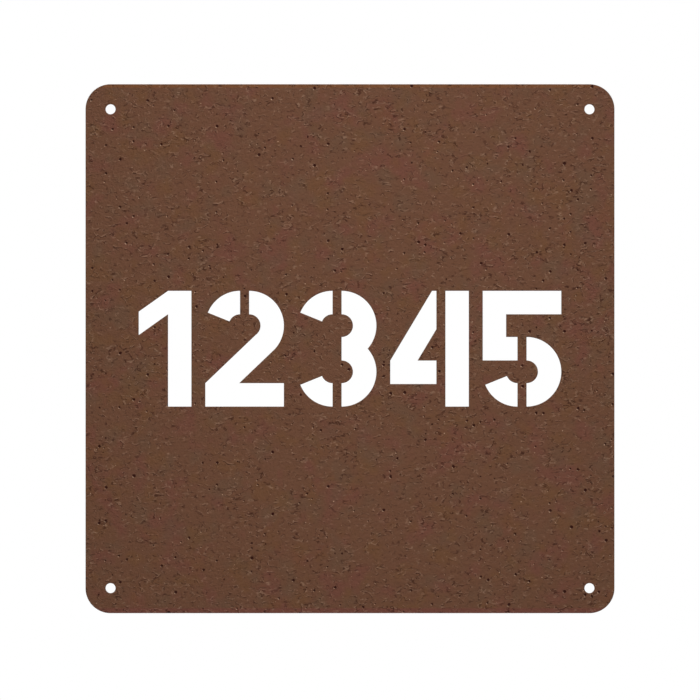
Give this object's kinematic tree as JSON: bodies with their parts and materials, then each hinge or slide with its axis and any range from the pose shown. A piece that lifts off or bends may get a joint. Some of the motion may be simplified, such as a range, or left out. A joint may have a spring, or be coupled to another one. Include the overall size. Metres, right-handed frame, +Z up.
{
  "type": "wall sign",
  "caption": "Square wall sign cut from sheet steel, with rounded corners, a screw hole in each corner and a stencil number cut through it.",
  "frame": {"origin": "centre of the back face, which is the centre of the four screw holes", "axes": "-Y out of the wall, towards whoever reads the number; +Z up; +X to the reader's right"},
  "size_m": [0.3048, 0.002, 0.3048],
  "materials": {
    "powder_coat": "textured powder coat"
  },
  "bodies": {
    "root": {"sign_plate": "powder_coat"}
  },
  "joints": []
}
